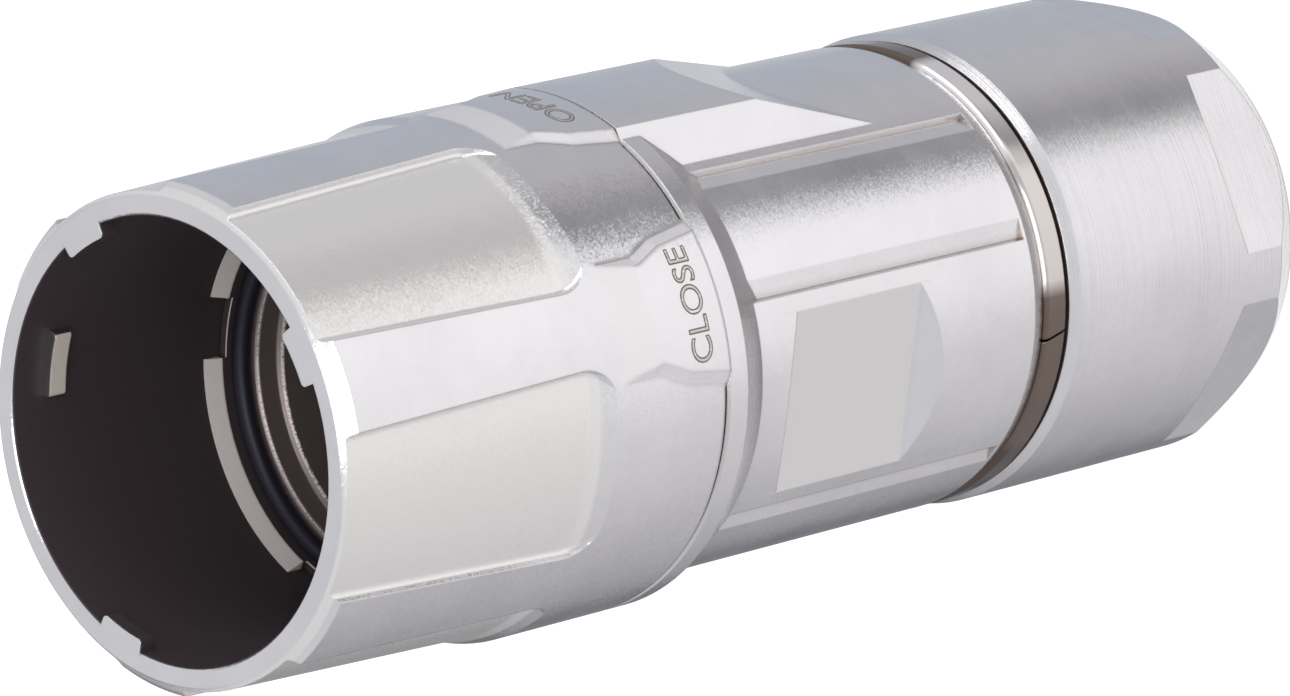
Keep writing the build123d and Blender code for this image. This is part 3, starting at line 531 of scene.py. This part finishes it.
# Painted reflection: the washer's dark brown base and the lighter and darker arcs round its axis stand
# in for the tones it mirrors.
washer_steel = metal(
    "washer steel with painted reflections", (0.20, 0.155, 0.135), 0.12, lines=(3000, 0.006), edge=0.2,
    zones=(washer_foot_shade,),
    arcs=(
        ((16, 82), (0.62, 0.58, 0.56)),
        ((50, 82), (0.95, 0.91, 0.89)),
        ((-80, -32), (0.11, 0.085, 0.075)),
    ),
)
print("nodes in the shell's nickel:", len(shell_nickel.node_tree.nodes))

# %% [markdown]
# Rubber and plastic need little: one dark colour, a middling gloss and a grain so fine that it only
# softens the highlights. The seal behind the rim is dark blue, the others are black.

# %% Rubber and plastic
mould_grain_scale = 2500
mould_grain_depth = 0.004


def moulded(name, colour, roughness):
    material = bpy.data.materials.new(name)
    material.use_nodes = True
    tree = material.node_tree
    place = node(tree, "ShaderNodeTexCoord").outputs["Object"]
    normal = bumped(tree, noise(tree, place, mould_grain_scale), mould_grain_depth)
    surface = tree.nodes["Principled BSDF"]
    for socket, value in (("Base Color", colour), ("Roughness", roughness), ("Normal", normal)):
        feed(tree, value, surface.inputs[socket])
    return material


navy_rubber = moulded("navy rubber", (0.021, 0.019, 0.037), 0.47)
black_rubber = moulded("black rubber", (0.02, 0.02, 0.02), 0.5)
grey_plastic = moulded("grey plastic", (0.30, 0.31, 0.32), 0.5)
black_plastic = moulded("black plastic", (0.02, 0.02, 0.022), 0.45)

# %% Each piece gets its finish
finishes = {
    "nickel_satin": shell_nickel,
    "nickel_turned": turned_nickel,
    "spring_steel": spring_steel,
    "seal_navy": navy_rubber,
    "seal_black": black_rubber,
    "moulded_grey": grey_plastic,
    "moulded_black": black_plastic,
}
own_finish = {"coupling_sleeve": sleeve_nickel, "clamp_nut": nut_nickel, "lock_washer": washer_steel}
slot_of = {part["node"]: part["material_slot"] for part in frame["record"]["subparts"]}
for name, piece in nodes.items():
    piece.data.materials.clear()
    piece.data.materials.append(own_finish.get(name, finishes[slot_of[name]]))
print("finishes:", len(finishes) + len(own_finish))

# %% [markdown]
# The two operating words stand on the sleeve's pads, one letter row each, cut by a fine engraving
# cutter. Their floors are nearly as bright as the nickel round them, and only the cut edges are dark,
# with painted shade.
# Geometry Nodes turn a string into curves, make an edge ribbon and a floor from them, and wrap both
# round the axis, so the same tree writes any word at any angle.

# %% The inputs of the engraving
engraving = bpy.data.node_groups.new("engraved word", "GeometryNodeTree")
engraving.interface.new_socket(name="Geometry", in_out="OUTPUT", socket_type="NodeSocketGeometry")
word_inputs = {
    name: engraving.interface.new_socket(name=name, in_out="INPUT", socket_type=kind).identifier
    for name, kind in (
        ("Word", "NodeSocketString"),
        ("Letter size", "NodeSocketFloat"),
        ("Letter spacing", "NodeSocketFloat"),
        ("Edge width", "NodeSocketFloat"),
        ("Radius", "NodeSocketFloat"),
        ("Angle", "NodeSocketFloat"),
        ("Height", "NodeSocketFloat"),
        ("Floor", "NodeSocketMaterial"),
        ("Edge", "NodeSocketMaterial"),
    )
}
print("inputs of the engraving:", ", ".join(word_inputs))

# %% Letters, their edges and the wrap
outline_step = 0.05
ribbon_thickness = 0.012
is_cut_edge = "cut edge"


def letter_outlines(tree, start):
    """The outlines of the word's letters, as closed curves with evenly spaced points."""
    letters = node(tree, "GeometryNodeStringToCurves", align_x="CENTER", align_y="MIDDLE")
    link(tree, start, "Word", letters, "String")
    link(tree, start, "Letter size", letters, "Size")
    link(tree, start, "Letter spacing", letters, "Character Spacing")
    loose = node(tree, "GeometryNodeRealizeInstances")
    link(tree, letters, "Curve Instances", loose, "Geometry")
    outline = node(tree, "GeometryNodeResampleCurve", mode="LENGTH")
    feed(tree, outline_step * mm, outline.inputs["Length"])
    link(tree, loose, "Geometry", outline, "Curve")
    return outline


def edge_ribbon(tree, start, outline):
    """A flat ribbon along the outlines, marked so that it can be given the painted shade of the cut
    edges.
    """
    level = node(tree, "GeometryNodeSetCurveNormal", mode="Z_UP")
    link(tree, outline, "Curve", level, "Curve")
    section = node(tree, "GeometryNodeCurvePrimitiveQuadrilateral")
    feed(tree, ribbon_thickness * mm, section.inputs["Height"])
    link(tree, start, "Edge width", section, "Width")
    ribbon = node(tree, "GeometryNodeCurveToMesh")
    link(tree, level, "Curve", ribbon, "Curve")
    link(tree, section, "Curve", ribbon, "Profile Curve")
    marked = node(tree, "GeometryNodeStoreNamedAttribute", data_type="BOOLEAN", domain="FACE")
    feed(tree, is_cut_edge, marked.inputs["Name"])
    feed(tree, True, marked.inputs["Value"])
    link(tree, ribbon, "Mesh", marked, "Geometry")
    return marked


def wrapped_round_axis(tree, start, flat):
    """Geometry in the XY plane, bent round the axis with X along the turn and Y up."""
    place = node(tree, "GeometryNodeInputPosition")
    split = node(tree, "ShaderNodeSeparateXYZ")
    link(tree, place, "Position", split, "Vector")
    along, up, outward = split.outputs
    arc = calculated(tree, "DIVIDE", along, start.outputs["Radius"])
    turn = calculated(tree, "ADD", arc, start.outputs["Angle"])
    radius = calculated(tree, "ADD", start.outputs["Radius"], outward)
    height = calculated(tree, "ADD", start.outputs["Height"], up)
    x, y = (
        calculated(tree, "MULTIPLY", calculated(tree, wave, turn), radius) for wave in ("COSINE", "SINE")
    )
    bent = node(tree, "ShaderNodeCombineXYZ")
    for axis, value in (("X", x), ("Y", y), ("Z", height)):
        feed(tree, value, bent.inputs[axis])
    moved = node(tree, "GeometryNodeSetPosition")
    link(tree, flat, "Geometry", moved, "Geometry")
    link(tree, bent, "Vector", moved, "Position")
    return moved


# %% The engraving
def build_engraving(tree):
    start = node(tree, "NodeGroupInput")
    outline = letter_outlines(tree, start)
    filled = node(tree, "GeometryNodeFillCurve")
    link(tree, outline, "Curve", filled, "Curve")
    fine = node(tree, "GeometryNodeSubdivideMesh")
    feed(tree, 2, fine.inputs["Level"])
    link(tree, filled, "Mesh", fine, "Mesh")
    both = node(tree, "GeometryNodeJoinGeometry")
    link(tree, edge_ribbon(tree, start, outline), "Geometry", both, "Geometry")
    link(tree, fine, "Mesh", both, "Geometry")
    whole = node(tree, "GeometryNodeRealizeInstances")
    link(tree, wrapped_round_axis(tree, start, both), "Geometry", whole, "Geometry")
    floor_finish = node(tree, "GeometryNodeSetMaterial")
    link(tree, whole, "Geometry", floor_finish, "Geometry")
    link(tree, start, "Floor", floor_finish, "Material")
    is_edge = node(tree, "GeometryNodeInputNamedAttribute", data_type="BOOLEAN")
    feed(tree, is_cut_edge, is_edge.inputs["Name"])
    edge_finish = node(tree, "GeometryNodeSetMaterial")
    link(tree, floor_finish, "Geometry", edge_finish, "Geometry")
    link(tree, is_edge, "Attribute", edge_finish, "Selection")
    link(tree, start, "Edge", edge_finish, "Material")
    end = node(tree, "NodeGroupOutput")
    link(tree, edge_finish, "Geometry", end, "Geometry")


build_engraving(engraving)
cut_floor = metal("engraved nickel", (0.70, 0.67, 0.65), 0.35)
# Painted shade: the ribbon along each letter's outline is dark for the shade in the cut's walls.
cut_edge_shade = metal("painted shade of cut edges", (0.34, 0.30, 0.25), 0.5)
print("nodes of the engraving:", len(engraving.nodes))

# %% Engraved words
# All in millimetres, apart from the spacing, which is a share of the font's own. The words lie
# 0.001 mm inside the pads, so their outer sides stand just proud of them.
letter_size = 2.15
letter_spacing = 1.0
edge_width = 0.075
pad_radius = 14.499
word_height = 50.92


def engraved_word(name, word, angle):
    """Write the word on the pad at that angle, in degrees round the axis from +X."""
    piece = bpy.data.objects.new(name, bpy.data.meshes.new(name))
    bpy.context.scene.collection.objects.link(piece)
    modifier = piece.modifiers.new("engraving", "NODES")
    modifier.node_group = engraving
    for key, value in (
        ("Word", word),
        ("Letter size", letter_size * mm),
        ("Letter spacing", letter_spacing),
        ("Edge width", edge_width * mm),
        ("Radius", pad_radius * mm),
        ("Angle", radians(angle)),
        ("Height", word_height * mm),
        ("Floor", cut_floor),
        ("Edge", cut_edge_shade),
    ):
        modifier[word_inputs[key]] = value
    bpy.context.view_layer.update()
    baked = bpy.data.meshes.new_from_object(piece.evaluated_get(bpy.context.evaluated_depsgraph_get()))
    piece.modifiers.clear()
    piece.data = baked
    baked.name = name
    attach(piece, "sleeve")
    heights = [corner.co.z / mm for corner in baked.vertices]
    print(name, "vertices", len(heights), "height", round(max(heights) - min(heights), 3))


engraved_word("word_close", "CLOSE", 30.1)
engraved_word("word_open", "OPEN", 91.0)

# %% [markdown]
# The words stand five thousandths of a millimetre proud of their pads; nothing else differs.

# %% Plain colour view
bpy.context.scene.view_settings.view_transform = "Standard"
